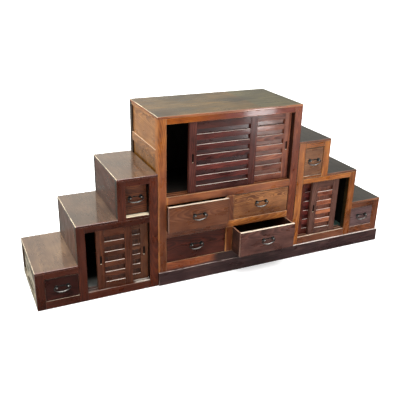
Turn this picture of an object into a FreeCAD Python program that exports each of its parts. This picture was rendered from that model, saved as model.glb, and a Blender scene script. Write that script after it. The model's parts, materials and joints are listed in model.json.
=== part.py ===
import FreeCAD, Part
import math
import os

# A step chest: a tall centre case with a flight of three steps on each side.
# Millimetres. +X runs along the chest to the viewer's right, +Y to its back,
# +Z up. The origin is on the floor, under the middle of the centre case.

# Overall sizes
step_rise = 230.0
step_going = 230.0
case_depth = 460.0
centre_width = 900.0
plinth_height = 84.0
unit_gap = 0.5

# Boards and frame members
post_width = 47.0
end_post_width = 50.0
post_depth = 36.0
back_post = 30.0
top_board = 12.0
side_board = 14.0
side_panel = 6.0
back_board = 6.0
floor_board = 12.0
frame_arris = 1.0
board_arris = 2.0

# Rails of a side unit, as seen from the front
step_top_rail = 46.0
step_bottom_rail = 49.0
step_sill_rise = 5.0
end_top_rail = 26.0

# Rails and openings of the centre case, from its base up
centre_bottom_rail = 54.0
centre_drawer_opening = 160.0
centre_drawer_rail = 42.0
centre_middle_rail = 47.0
centre_top_rail = 44.0
divider_width = 47.0
partition_board = 12.0
side_top_rail = 26.0
side_rail_level = 684.0
side_rail_height = 49.0
centre_back_boards = 3

# Sliding doors and their tracks
door_inset = 10.0
door_thickness = 20.0
door_gap = 4.0
track_lip = 8.0
stile_width = 45.0
door_top_rail = 44.0
door_bottom_rail = 39.0
slat_height = 32.0
slat_thickness = 11.0
slat_inset = 1.0
door_panel = 5.0
step_door_slats = 4
centre_door_slats = 5
door_clearance = 1.0
tongue_thickness = 8.0
tongue_clearance = 0.5
lower_tongue = 3.0
upper_tongue = 8.0
groove_bottom_gap = 1.0
groove_top_gap = 3.0
pull_length = 52.0
pull_width = 13.0
pull_depth = 7.0

# Drawers
drawer_front = 15.0
drawer_side = 9.0
drawer_bottom = 6.0
drawer_side_gap = 1.2
drawer_top_gap = 2.5
running_gap = 0.3
drawer_side_drop = 4.0
drawer_bottom_lift = 5.0
drawer_push_in = 40.0
drawer_back_gap = 4.0
guide_height = 18.0

# Drop handles
handle_rise = 10.0
boss_spacing = 62.0
boss_radius = 5.0
boss_head = 4.0
boss_dome_shares = ((1, 0), (0.86, 0.5), (0.52, 0.86), (0.14, 1))
pivot_reach = 8.5
bail_radius = 2.6
bail_middle_radius = 4.4
bail_pin = 7.0
bail_pin_clearance = 0.35
bail_shoulder = 7.0
bail_shoulder_radius = 6.0
bail_corner_radius = 16.0
bail_corner_angle = 60.0
bail_bend_steps = 4
handle_sides = 12
plate_thickness = 1.6
rosette_radius = 11.0
plate_arc_steps = 4
plate_crown = 4.5
plate_top_arc = 6.0
plate_waist = 1.5
plate_hollow = 0.5
plate_pendant = 2.5

# Plinth under the centre and right cases
plinth_out = 9.0
plinth_board = 28.0
plinth_bearer = 60.0

# Where each drawer stands, pulled out of its opening from flush
drawer_pulled = {
    "left_low": -3.0,
    "left_high": -40.0,
    "upper_left": 33.0,
    "upper_right": -4.0,
    "lower_left": -5.0,
    "lower_right": 103.0,
    "right_high": -3.0,
    "right_low": -3.0,
}

# Where each door stands, moved to the right from its closed place
door_moved = {
    "left_front": 59.0,
    "left_rear": 0.0,
    "centre_front": 135.0,
    "centre_rear": 0.0,
    "right_front": 84.0,
    "right_rear": -157.0,
}

# Sizes worked out from the above
unit_length = 3 * step_going
centre_height = 4 * step_rise
half_length = centre_width / 2 + unit_gap + unit_length
front = -case_depth / 2
back = case_depth / 2
post_back = front + post_depth
panel_back = back - back_board
back_post_front = panel_back - back_post
front_door_y = front + door_inset
rear_door_y = front_door_y + door_thickness + door_gap
track_back = rear_door_y + door_thickness + track_lip
touch = 0.001
rightward = FreeCAD.Vector(1, 0, 0)
forward = FreeCAD.Vector(0, -1, 0)
upward = FreeCAD.Vector(0, 0, 1)


def block(x, y, z):
    """Returns a board that fills one span along each axis."""
    corner = FreeCAD.Vector(x[0], y[0], z[0])
    return Part.makeBox(x[1] - x[0], y[1] - y[0], z[1] - z[0], corner)


def edges_at(solid, where):
    """Returns the edges whose ends lie at the given places, such as dict(y=front)."""
    found = []
    for edge in solid.Edges:
        ends = [vertex.Point for vertex in edge.Vertexes]
        if all(abs(getattr(end, axis) - place) < touch for end in ends for axis, place in where.items()):
            found.append(edge)
    return found


def eased(solid, size, *places):
    """Takes the sharp arris off the edges at the given places."""
    edges = []
    for where in places:
        edges += edges_at(solid, where)
    return solid.makeChamfer(size, edges)


def front_post(x, z):
    """Returns a front post with its two tall front arrises eased."""
    post = block(x, (front, post_back), z)
    return eased(post, frame_arris, dict(x=x[0], y=front), dict(x=x[1], y=front))


def front_rail(x, z, depth=post_depth):
    """Returns a front rail with its two long front arrises eased."""
    rail = block(x, (front, front + depth), z)
    return eased(rail, frame_arris, dict(y=front, z=z[0]), dict(y=front, z=z[1]))


def track_groove(x, door_y, z):
    """Returns the groove that a door's tongue runs in."""
    middle = door_y + door_thickness / 2
    half = tongue_thickness / 2 + tongue_clearance
    return block(x, (middle - half, middle + half), z)


def lower_track(x, z):
    """Returns the sill rail with its two door grooves."""
    rail = front_rail(x, z, track_back - front)
    depth = (z[1] - lower_tongue - groove_bottom_gap, z[1])
    for door_y in (front_door_y, rear_door_y):
        rail = rail.cut(track_groove(x, door_y, depth))
    return rail


def upper_track(x, z):
    """Returns the head rail with its two door grooves."""
    rail = front_rail(x, z, track_back - front)
    depth = (z[0], z[0] + upper_tongue + groove_top_gap)
    for door_y in (front_door_y, rear_door_y):
        rail = rail.cut(track_groove(x, door_y, depth))
    return rail


def guides(x, z):
    """Returns the strip beside a drawer that keeps it straight."""
    return block(x, (post_back, back_post_front), (z, z + guide_height))


# Openings, as spans along X and Z

def side_unit_openings(x0, z0, mirrored):
    """Returns the three front openings of a side unit whose outer end is at x0."""
    low = (post_width, step_going)
    wide = (step_going + post_width, unit_length - end_post_width)
    high = (2 * step_going + post_width, unit_length - end_post_width)
    spans = {
        "low": (low, (step_bottom_rail, step_rise - step_top_rail)),
        "door": (wide, (step_bottom_rail, 2 * step_rise - step_top_rail)),
        "high": (high, (2 * step_rise + step_sill_rise, 3 * step_rise - step_top_rail)),
    }
    places = {}
    for name, (x, z) in spans.items():
        if mirrored:
            x = (x0 - x[1], x0 - x[0])
        else:
            x = (x0 + x[0], x0 + x[1])
        places[name] = (x, (z0 + z[0], z0 + z[1]))
    return places


def centre_levels():
    """Returns the heights in the centre case, from its base: edges of rails and openings."""
    level = [plinth_height, plinth_height + centre_bottom_rail]
    level.append(level[-1] + centre_drawer_opening)
    level.append(level[-1] + centre_drawer_rail)
    level.append(level[-1] + centre_drawer_opening)
    level.append(level[-1] + centre_middle_rail)
    level.append(plinth_height + centre_height - centre_top_rail)
    level.append(plinth_height + centre_height - top_board)
    return level


def centre_openings():
    """Returns the five front openings of the centre case."""
    level = centre_levels()
    inner = centre_width / 2 - end_post_width
    left = (-inner, -divider_width / 2)
    right = (divider_width / 2, inner)
    return {
        "lower_left": (left, (level[1], level[2])),
        "lower_right": (right, (level[1], level[2])),
        "upper_left": (left, (level[3], level[4])),
        "upper_right": (right, (level[3], level[4])),
        "door": ((-inner, inner), (level[5], level[6])),
    }


# The cases

def side_unit_frame():
    """Returns posts and rails of a side unit, from its outer end at zero."""
    opening = side_unit_openings(0, 0, False)
    inner = unit_length - end_post_width
    step2 = step_going
    step3 = 2 * step_going
    tops = [(step + 1) * step_rise - top_board for step in range(3)]
    sill = (tops[1], 2 * step_rise + step_sill_rise)
    pieces = [
        front_post((0, post_width), (0, tops[0])),
        front_post((step2, step2 + post_width), (0, tops[1])),
        front_post((step3, step3 + post_width), (tops[1], tops[2])),
        front_post((inner, unit_length), (0, tops[2])),
    ]
    low_x, low_z = opening["low"]
    door_x, door_z = opening["door"]
    high_x, high_z = opening["high"]
    pieces += [
        front_rail(low_x, (0, low_z[0])),
        front_rail(low_x, (low_z[1], tops[0])),
        lower_track(door_x, (0, door_z[0])),
        upper_track(door_x, (door_z[1], tops[1])),
        front_rail(high_x, sill),
        front_rail(high_x, (high_z[1], tops[2])),
    ]
    pieces += side_unit_back_frame(tops)
    return pieces


def side_unit_back_frame(tops):
    """Returns the back posts and back rails of a side unit."""
    depth = (back_post_front, panel_back)
    step2 = step_going
    step3 = 2 * step_going
    inner = unit_length - back_post
    top_rail = step_top_rail - top_board
    return [
        block((0, back_post), depth, (0, tops[0])),
        block((step2, step2 + back_post), depth, (0, tops[1])),
        block((step3, step3 + back_post), depth, (tops[1], tops[2])),
        block((inner, unit_length), depth, (0, tops[2])),
        block((back_post, step2), depth, (0, step_bottom_rail)),
        block((step2 + back_post, inner), depth, (0, step_bottom_rail)),
        block((back_post, step2), depth, (tops[0] - top_rail, tops[0])),
        block((step2 + back_post, inner), depth, (tops[1] - top_rail, tops[1])),
        block((step3 + back_post, inner), depth, (tops[2] - top_rail, tops[2])),
    ]


def side_unit_tops():
    """Returns the three step boards."""
    boards = []
    for step in range(3):
        x = (step * step_going, (step + 1) * step_going)
        top = (step + 1) * step_rise
        board = block(x, (front, back), (top - top_board, top))
        board = eased(board, board_arris, dict(y=front, z=top), dict(x=x[0], z=top), dict(y=back, z=top))
        boards.append(board)
    return boards


def side_unit_sides():
    """Returns the panelled low end, the two risers' boards and the inner side board."""
    depth = (post_back, back_post_front)
    low_top = step_rise - top_board
    end_top = low_top - (end_top_rail - top_board)
    panel = (side_board - side_panel, side_board)
    step2 = step_going
    step3 = 2 * step_going
    return [
        block((0, side_board), depth, (0, step_bottom_rail)),
        block((0, side_board), depth, (end_top, low_top)),
        block(panel, depth, (step_bottom_rail, end_top)),
        block((step2, step2 + side_board), depth, (0, 2 * step_rise - top_board)),
        block((step3, step3 + side_board), depth, (2 * step_rise - top_board, 3 * step_rise - top_board)),
        block((unit_length - side_board, unit_length), depth, (0, 3 * step_rise - top_board)),
    ]


def side_unit_shelves():
    """Returns the floors of the three compartments and the drawer guides."""
    opening = side_unit_openings(0, 0, False)
    low_x, low_z = opening["low"]
    door_x, door_z = opening["door"]
    high_x, high_z = opening["high"]
    step2 = step_going + side_board
    step3 = 2 * step_going + side_board
    inner = unit_length - side_board
    floor = (low_z[0] - floor_board, low_z[0])
    shelf = (2 * step_rise - top_board, high_z[0])
    return [
        block((side_board, step_going), (post_back, back_post_front), floor),
        block((step2, inner), (track_back, back_post_front), floor),
        block((step3, inner), (post_back, back_post_front), shelf),
        guides((side_board, low_x[0]), low_z[0]),
        guides((step3, high_x[0]), high_z[0]),
        guides((high_x[1], inner), high_z[0]),
    ]


def side_unit_back():
    """Returns one upright back board behind each step."""
    boards = []
    for step in range(3):
        x = (step * step_going, (step + 1) * step_going)
        boards.append(block(x, (panel_back, back), (0, (step + 1) * step_rise - top_board)))
    return boards


def centre_frame():
    """Returns the posts, rails and drawer dividers of the centre case."""
    level = centre_levels()
    half = centre_width / 2
    inner = half - end_post_width
    across = (-inner, inner)
    divider = (-divider_width / 2, divider_width / 2)
    pieces = [
        front_post((-half, -inner), (level[0], level[7])),
        front_post((inner, half), (level[0], level[7])),
        front_rail(across, (level[0], level[1])),
        front_rail(across, (level[2], level[3])),
        lower_track(across, (level[4], level[5])),
        upper_track(across, (level[6], level[7])),
        front_post(divider, (level[1], level[2])),
        front_post(divider, (level[3], level[4])),
    ]
    depth = (back_post_front, panel_back)
    back_inner = half - back_post
    top_rail = centre_top_rail - top_board
    pieces += [
        block((-half, -back_inner), depth, (level[0], level[7])),
        block((back_inner, half), depth, (level[0], level[7])),
        block((-back_inner, back_inner), depth, (level[0], level[1])),
        block((-back_inner, back_inner), depth, (level[7] - top_rail, level[7])),
    ]
    return pieces


def centre_top():
    """Returns the top board of the centre case."""
    half = centre_width / 2
    top = plinth_height + centre_height
    board = block((-half, half), (front, back), (top - top_board, top))
    ends = [dict(x=-half, z=top), dict(x=half, z=top)]
    return [eased(board, board_arris, dict(y=front, z=top), dict(y=back, z=top), *ends)]


def centre_sides():
    """Returns the framed and panelled left and right sides of the centre case."""
    depth = (post_back, back_post_front)
    top = plinth_height + centre_height - top_board
    bands = [
        (plinth_height, plinth_height + centre_bottom_rail),
        (plinth_height + side_rail_level, plinth_height + side_rail_level + side_rail_height),
        (top - (side_top_rail - top_board), top),
    ]
    panels = [(bands[0][1], bands[1][0]), (bands[1][1], bands[2][0])]
    pieces = []
    for side in (-1, 1):
        outer = side * centre_width / 2
        inner = outer - side * side_board
        panel_face = inner + side * side_panel
        for z in bands:
            pieces.append(block(sorted((outer, inner)), depth, z))
        for z in panels:
            pieces.append(block(sorted((panel_face, inner)), depth, z))
    return pieces


def centre_shelves():
    """Returns the floors, the partition and the drawer guides of the centre case."""
    level = centre_levels()
    side = centre_width / 2 - side_board
    post = centre_width / 2 - end_post_width
    depth = (post_back, back_post_front)
    partition = (-partition_board / 2, partition_board / 2)
    floors = [level[1], level[3]]
    door_floor = block((-side, side), (track_back, back_post_front), (level[5] - floor_board, level[5]))
    pieces = [block((-side, side), depth, (z - floor_board, z)) for z in floors]
    pieces.append(door_floor)
    pieces.append(block(partition, depth, (level[1], level[3] - floor_board)))
    upper = block(partition, depth, (level[3], level[5] - floor_board))
    sill = block(partition, (front, track_back), (level[4], level[5]))
    pieces.append(upper.cut(sill))
    spans = [(-side, -post), (-divider_width / 2, partition[0])]
    spans += [(partition[1], divider_width / 2), (post, side)]
    for z in floors:
        pieces += [guides(span, z) for span in spans]
    return pieces


def centre_back():
    """Returns the upright back boards of the centre case, edge to edge."""
    width = centre_width / centre_back_boards
    left = -centre_width / 2
    z = (plinth_height, plinth_height + centre_height - top_board)
    boards = []
    for number in range(centre_back_boards):
        x = (left + number * width, left + (number + 1) * width)
        boards.append(block(x, (panel_back, back), z))
    return boards


def plinth():
    """Returns the plinth: front and back boards, two ends and cross bearers."""
    left = -centre_width / 2
    right = half_length + plinth_out
    z = (0, plinth_height)
    front_board = block((left, right), (front - plinth_out, front - plinth_out + plinth_board), z)
    edges = [dict(y=front - plinth_out, z=plinth_height), dict(x=right, z=plinth_height)]
    front_board = eased(front_board, board_arris, *edges)
    back_rail = block((left, right), (back - plinth_board, back), z)
    between = (front - plinth_out + plinth_board, back - plinth_board)
    right_end = block((right - plinth_board, right), between, z)
    pieces = [
        front_board,
        eased(back_rail, board_arris, dict(x=right, z=plinth_height)),
        block((left, left + plinth_board), between, z),
        eased(right_end, board_arris, dict(x=right, z=plinth_height)),
    ]
    joint = centre_width / 2
    for middle in (0, joint, (joint + right) / 2):
        pieces.append(block((middle - plinth_bearer / 2, middle + plinth_bearer / 2), between, z))
    return pieces


# Sliding doors

def tongued(body, x, z, edge):
    """Adds the running tongue to a door member along its bottom or top edge."""
    middle = door_thickness / 2
    y = (middle - tongue_thickness / 2, middle + tongue_thickness / 2)
    if edge == "bottom":
        return body.fuse(block(x, y, (z[0] - lower_tongue, z[0]))).removeSplitter()
    return body.fuse(block(x, y, (z[1], z[1] + upper_tongue))).removeSplitter()


def finger_pull(x, z):
    """Returns the upright oblong recess of a finger pull, cut from a door's front face."""
    radius = pull_width / 2
    straight = pull_length - pull_width
    y = (0, pull_depth)
    recess = block((x - radius, x + radius), y, (z - straight / 2, z + straight / 2))
    for end in (-1, 1):
        foot = FreeCAD.Vector(x, 0, z + end * straight / 2)
        recess = recess.fuse(Part.makeCylinder(radius, pull_depth, foot, -forward))
    return recess.removeSplitter()


def door_frame(width, height, pull_side):
    """Returns two stiles and two rails of a door, with a finger pull in one stile."""
    y = (0, door_thickness)
    z = (0, height)
    stiles = []
    for name, x in (("left", (0, stile_width)), ("right", (width - stile_width, width))):
        stile = eased(block(x, y, z), frame_arris, dict(x=x[0], y=0), dict(x=x[1], y=0))
        stile = tongued(tongued(stile, x, z, "bottom"), x, z, "top")
        if name == pull_side:
            stile = stile.cut(finger_pull((x[0] + x[1]) / 2, height / 2))
        stiles.append(stile)
    x = (stile_width, width - stile_width)
    lower = block(x, y, (0, door_bottom_rail))
    lower = eased(lower, frame_arris, dict(y=0, z=door_bottom_rail))
    upper = block(x, y, (height - door_top_rail, height))
    lower = tongued(lower, x, z, "bottom")
    upper = tongued(upper, x, z, "top")
    return stiles + [lower, upper]


def door_slats(width, height, count):
    """Returns the raised cross slats of a door and the thin panel behind them."""
    x = (stile_width, width - stile_width)
    low = door_bottom_rail
    high = height - door_top_rail
    space = (high - low - count * slat_height) / (count + 1)
    y = (slat_inset, slat_inset + slat_thickness)
    pieces = [block(x, (y[1], y[1] + door_panel), (low, high))]
    for number in range(count):
        foot = low + space + number * (slat_height + space)
        slat = block(x, y, (foot, foot + slat_height))
        slat = eased(slat, board_arris, dict(y=y[0], z=foot), dict(y=y[0], z=foot + slat_height))
        pieces.append(slat)
    return pieces


def door(name, opening, slats):
    """Returns the nodes of one door at its place in its opening."""
    (x0, x1), (z0, z1) = opening
    width = (x1 - x0 + stile_width) / 2 - door_clearance
    height = z1 - z0 - 2 * door_clearance
    is_front = name.endswith("front")
    if is_front:
        corner = FreeCAD.Vector(x0 + door_clearance, front_door_y, z0 + door_clearance)
        pull_side = "left"
    else:
        corner = FreeCAD.Vector(x1 - door_clearance - width, rear_door_y, z0 + door_clearance)
        pull_side = "right"
    corner.x += door_moved[name]
    frame = door_frame(width, height, pull_side)
    panel = door_slats(width, height, slats)
    return {
        "door_" + name + "_frame": [piece.translated(corner) for piece in frame],
        "door_" + name + "_slats": [piece.translated(corner) for piece in panel],
    }


# Drawers and their drop handles

def drawer_front_board(x, y, z):
    """Returns the drawer front with eased arrises all round its face."""
    board = block(x, (y, y + drawer_front), z)
    return eased(board, frame_arris, dict(y=y))


def drawer_box(x, y, z):
    """Returns the two sides, the back and the bottom of a drawer behind its front."""
    depth = (y + drawer_front, y + drawer_length())
    top = z[1] - drawer_side_drop
    inner = (x[0] + drawer_side, x[1] - drawer_side)
    base = (z[0] + drawer_bottom_lift, z[0] + drawer_bottom_lift + drawer_bottom)
    return [
        block((x[0], inner[0]), depth, (z[0], top)),
        block((inner[1], x[1]), depth, (z[0], top)),
        block(inner, (depth[1] - drawer_side, depth[1]), (base[1], top)),
        block(inner, depth, base),
    ]


def drawer_length():
    """Returns the length of a drawer that stops short of the back posts when pushed right in."""
    return back_post_front - front - drawer_push_in - drawer_back_gap


def flipped(vector):
    """Returns a vector turned over from the right half of a handle to its left half."""
    return FreeCAD.Vector(-vector.x, vector.y, vector.z)


def handle_plate(x, y, z):
    """Returns the back plate with its two rosettes, and the two bosses that hold the bail."""
    pieces = [plate_outline().extrude(forward * plate_thickness)]
    for side in (-1, 1):
        foot = FreeCAD.Vector(side * boss_spacing / 2, -plate_thickness, 0)
        pieces.append(boss().translated(foot))
    return [piece.translated(FreeCAD.Vector(x, y, z)) for piece in pieces]


def plate_outline():
    """Returns the face of the back plate: two round rosettes joined by a slim scalloped bridge."""
    half = boss_spacing / 2
    lean = rosette_radius * math.cos(math.pi / 4)
    peak = FreeCAD.Vector(0, 0, plate_crown)
    wave = FreeCAD.Vector((half - rosette_radius) / 2, 0, plate_top_arc)
    dip = FreeCAD.Vector(half - rosette_radius, 0, plate_crown / 2)
    upper_in = FreeCAD.Vector(half - lean, 0, lean)
    crown = FreeCAD.Vector(half, 0, rosette_radius)
    upper_out = FreeCAD.Vector(half + lean, 0, lean)
    outer = FreeCAD.Vector(half + rosette_radius, 0, 0)
    lower_out = FreeCAD.Vector(half + lean, 0, -lean)
    foot = FreeCAD.Vector(half, 0, -rosette_radius)
    lower_in = FreeCAD.Vector(half - lean, 0, -lean)
    nook = FreeCAD.Vector(half - rosette_radius, 0, -plate_waist)
    hollow = FreeCAD.Vector((half - rosette_radius) / 2, 0, plate_hollow)
    pendant = FreeCAD.Vector(0, 0, -plate_pendant)
    right = [(peak, wave, dip), (dip, upper_in, crown), (crown, upper_out, outer)]
    right += [(outer, lower_out, foot), (foot, lower_in, nook), (nook, hollow, pendant)]
    left = [[flipped(point) for point in reversed(arc)] for arc in reversed(right)]
    points = []
    for arc in right + left:
        points += Part.Arc(*arc).toShape().discretize(Number=plate_arc_steps + 1)[:-1]
    return flat_face(*points)


def flat_face(*points):
    """Returns the flat face inside a ring of points."""
    return Part.Face(Part.makePolygon(list(points) + [points[0]]))


def forged_ring(centre, across, along, radius):
    """Returns the corners of a many-sided section, in the plane of two directions."""
    points = []
    for number in range(handle_sides):
        turn = math.pi * (2 * number + 1) / handle_sides
        points.append(centre + across * (radius * math.cos(turn)) + along * (radius * math.sin(turn)))
    return points


def forged(rings):
    """Returns the solid whose flat facets join a row of many-sided sections."""
    faces = [flat_face(*rings[0]), flat_face(*rings[-1])]
    for near, far in zip(rings, rings[1:]):
        for number in range(handle_sides):
            beside = (number + 1) % handle_sides
            faces.append(flat_face(near[number], near[beside], far[number]))
            faces.append(flat_face(near[beside], far[beside], far[number]))
    shell = Part.makeShell(faces)
    shell.sewShape()
    return Part.makeSolid(shell).removeSplitter()


def boss():
    """Returns a domed boss with the eye that a bail's pin turns in."""
    reach = pivot_reach - plate_thickness
    neck = reach + boss_radius
    rings = [forged_ring(FreeCAD.Vector(0, 0, 0), rightward, upward, boss_radius)]
    for radius_share, height_share in boss_dome_shares:
        place = forward * (neck + boss_head * height_share)
        rings.append(forged_ring(place, rightward, upward, boss_radius * radius_share))
    eye_radius = bail_radius + bail_pin_clearance
    ends = [forward * reach + rightward * (side * 2 * boss_radius) for side in (-1, 1)]
    eye = forged([forged_ring(end, forward, upward, eye_radius) for end in ends])
    return forged(rings).cut(eye).Solids[0]


def outward(degrees):
    """Returns the outward direction of the bail's bends, turned from straight up."""
    turn = math.radians(degrees)
    return FreeCAD.Vector(math.sin(turn), 0, math.cos(turn))


def bail_stations():
    """Returns place, outward direction and bar radius along the right half of the bail, from its pin."""
    shoulder = FreeCAD.Vector(boss_spacing / 2 + bail_shoulder, 0, -bail_shoulder_radius)
    corner = shoulder + rightward * (bail_shoulder_radius - bail_corner_radius)
    knee_turn = 90 + bail_corner_angle
    knee = corner + outward(knee_turn) * bail_corner_radius
    bow_radius = knee.x / outward(knee_turn).x
    bow = knee - outward(knee_turn) * bow_radius
    stations = [
        (rightward * (boss_spacing / 2 - bail_pin), upward, bail_radius),
        (rightward * shoulder.x, upward, bail_radius),
    ]
    bends = [
        (shoulder, bail_shoulder_radius, 0, 90),
        (corner, bail_corner_radius, 90, knee_turn),
        (bow, bow_radius, knee_turn, 180),
    ]
    for centre, radius, start, end in bends:
        for number in range(1, bail_bend_steps + 1):
            turn = start + (end - start) * number / bail_bend_steps
            swell = math.sin(math.pi / 2 * max(0, turn - knee_turn) / (180 - knee_turn))
            bar = bail_radius + (bail_middle_radius - bail_radius) * swell
            stations.append((centre + outward(turn) * radius, outward(turn), bar))
    return stations


def bail():
    """Returns the hanging bail: slim pins and shoulders, and a bow that swells to its middle."""
    right = bail_stations()
    left = [(flipped(place), flipped(direction), bar) for place, direction, bar in right[:-1]]
    whole = right + left[::-1]
    return forged([forged_ring(place, direction, forward, bar) for place, direction, bar in whole])


def drawer(name, opening, bail_shape):
    """Returns the nodes of one drawer with its handle, pulled out as it stands."""
    (x0, x1), (z0, z1) = opening
    x = (x0 + drawer_side_gap, x1 - drawer_side_gap)
    z = (z0 + running_gap, z1 - drawer_top_gap)
    y = front - drawer_pulled[name]
    middle = (x[0] + x[1]) / 2
    height = (z[0] + z[1]) / 2 + handle_rise
    hanging = bail_shape.translated(FreeCAD.Vector(middle, y - pivot_reach, height))
    return {
        name + "_drawer_front": [drawer_front_board(x, y, z)],
        name + "_drawer_box": drawer_box(x, y, z),
        name + "_handle_plate": handle_plate(middle, y, height),
        name + "_bail": [hanging],
    }


# The whole chest

def placed(pieces, mirrored):
    """Moves a side unit's pieces to the left end, or turns them over to the right end."""
    if not mirrored:
        return [piece.translated(FreeCAD.Vector(-half_length, 0, 0)) for piece in pieces]
    origin = FreeCAD.Vector(0, 0, 0)
    move = FreeCAD.Vector(half_length, 0, plinth_height)
    return [piece.mirror(origin, rightward).translated(move) for piece in pieces]


def side_unit(side, mirrored):
    """Returns the fixed nodes of one side unit."""
    return {
        side + "_frame": placed(side_unit_frame(), mirrored),
        side + "_step_tops": placed(side_unit_tops(), mirrored),
        side + "_side_boards": placed(side_unit_sides(), mirrored),
        side + "_shelves": placed(side_unit_shelves(), mirrored),
        side + "_back_boards": placed(side_unit_back(), mirrored),
    }


def chest():
    """Returns every node of the chest by name."""
    left = side_unit_openings(-half_length, 0, False)
    right = side_unit_openings(half_length, plinth_height, True)
    centre = centre_openings()
    bail_shape = bail()
    nodes = {"plinth": plinth()}
    nodes["centre_frame"] = centre_frame()
    nodes["centre_top"] = centre_top()
    nodes["centre_sides"] = centre_sides()
    nodes["centre_shelves"] = centre_shelves()
    nodes["centre_back_boards"] = centre_back()
    nodes.update(side_unit("left", False))
    nodes.update(side_unit("right", True))
    units = [("left", left, step_door_slats), ("centre", centre, centre_door_slats)]
    units.append(("right", right, step_door_slats))
    for unit, openings, slats in units:
        nodes.update(door(unit + "_front", openings["door"], slats))
        nodes.update(door(unit + "_rear", openings["door"], slats))
    for name in ("upper_left", "upper_right", "lower_left", "lower_right"):
        nodes.update(drawer(name, centre[name], bail_shape))
    for name in ("low", "high"):
        nodes.update(drawer("left_" + name, left[name], bail_shape))
        nodes.update(drawer("right_" + name, right[name], bail_shape))
    return nodes


os.makedirs("parts", exist_ok=True)
for node, solids in chest().items():
    shape = solids[0] if len(solids) == 1 else Part.makeCompound(solids)
    shape.exportStep("parts/" + node + ".step")
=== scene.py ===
import json
import math

import bmesh
import bpy
from mathutils import Matrix, Vector


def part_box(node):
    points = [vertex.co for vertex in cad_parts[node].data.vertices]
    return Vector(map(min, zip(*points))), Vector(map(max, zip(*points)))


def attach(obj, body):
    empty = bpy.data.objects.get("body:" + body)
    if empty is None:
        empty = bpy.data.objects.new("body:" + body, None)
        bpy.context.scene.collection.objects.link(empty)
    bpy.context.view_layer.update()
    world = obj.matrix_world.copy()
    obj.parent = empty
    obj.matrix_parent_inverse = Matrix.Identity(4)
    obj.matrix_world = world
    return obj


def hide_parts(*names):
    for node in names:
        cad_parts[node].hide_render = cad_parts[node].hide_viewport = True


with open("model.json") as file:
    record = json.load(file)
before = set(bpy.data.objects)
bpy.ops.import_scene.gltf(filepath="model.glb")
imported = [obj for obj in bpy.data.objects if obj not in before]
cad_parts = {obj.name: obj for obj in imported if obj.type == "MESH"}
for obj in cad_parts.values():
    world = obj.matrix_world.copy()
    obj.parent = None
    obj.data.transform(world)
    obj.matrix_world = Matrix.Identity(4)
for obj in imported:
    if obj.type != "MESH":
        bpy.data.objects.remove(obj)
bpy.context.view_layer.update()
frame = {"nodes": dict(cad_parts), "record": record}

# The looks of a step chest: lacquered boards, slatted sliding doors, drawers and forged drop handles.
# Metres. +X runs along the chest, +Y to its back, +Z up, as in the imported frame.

# The photograph's camera, in its 400 pixel frame
image_pixels = 400
focal_pixels = 562.9
camera_place = Vector((-1.45122, -2.89037, 1.7444))
camera_azimuth = math.radians(-25.244)
camera_elevation = math.radians(22.8855)
camera_roll = math.radians(1.3996)
sensor_width = 36.0

# Brightness of the surround: below and above the horizon, before and behind the chest, and overhead
ground_before = 0.08
ground_behind = 0.42
sky_before = 0.35
sky_behind_left = 1.1
sky_behind_right = 0.3
overhead = 7.8
sky_warmth = (1.0, 0.97, 0.86)

# Where the surround changes, by how far a direction points along one axis
turn_to_back = (-0.7, 0.7)
turn_to_right = (0.0, 0.7)
horizon = (-0.15, 0.25)
zenith = (0.7, 0.95)

# The pale floor
floor_shade = 0.6
floor_glow = 0.55
floor_roughness = 0.9
floor_half = 40.0

# A low window that glances off the fronts
window_place = (1.55, -2.5, 0.27)
window_target = (0.3, 0, 0.9)
window_size = (0.28, 0.3)
window_watts = 11

# Eased edges of the boards
board_ease = 0.0008
ease_segments = 2
ease_profile = 0.6
sharp_angle = math.radians(24)
flat_angle = math.radians(0.6)
flat_weight = 80

# The forged handles: bosses, bail and back plate
boss_spacing = 0.062
bail_radius = 0.0026
bail_middle_radius = 0.0038
bail_pin = 0.007
bail_shoulder = 0.007
bail_shoulder_radius = 0.006
bail_corner_radius = 0.016
bail_corner_turn = math.radians(150)
bail_sides = 16
bail_steps = 8
plate_ease = 0.0004
plate_sharp_angle = math.radians(50)

# Waves per metre of the grain and the wear, along, across and through a board
wander_waves = (1.4, 6, 6)
knot_waves = (14, 26, 26)
streak_waves = (4, 60, 60)
cloud_waves = (7, 13, 13)
broad_cloud_waves = (5, 9, 9)
broadest_cloud_waves = (3.5, 6, 6)
fibre_waves = (14, 420, 420)
pore_waves = (60, 1300, 1300)
ragged_waves = (50, 160, 160)
scuff_waves = (16, 60, 60)
rub_waves = (7, 20, 20)
line_waves = (9, 9, 9)
smear_waves = (9, 22, 22)
peeled_waves = (6, 44, 44)
stained_waves = (9, 60, 60)

# The heart of the tree beneath a board: how far aside it lies, wanders and leans, and how deep it lies
heart_aside = 0.06
heart_wander = 0.04
heart_lean = 0.12
heart_depth = (0.02, 0.07)

# Factors that draw a board's noise, heart and tone from its own number from 0 to 1
noise_draw = 37.0
aside_draw = 5.3
lean_draw = 3.7
tone_draw = 7.13

# Weights of fibres and boards in the tone, and of pores, fibres and streaks in the bump
fibre_tone = 0.6
board_tone = 0.3
pore_bump = 0.5
fibre_bump = 0.6
streak_bump = 0.8
wood_bump_strength = 0.25
wood_bump_depth = 0.0005
worn_roughness = 0.2

# Forged iron: waves per metre of its dimples and spots, and its bump
iron_draw = 19.0
dimple_waves = (260, 260, 260)
spot_waves = (90, 90, 90)
spot_bump = 0.3
iron_bump_strength = 0.4
iron_bump_depth = 0.0006

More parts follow.
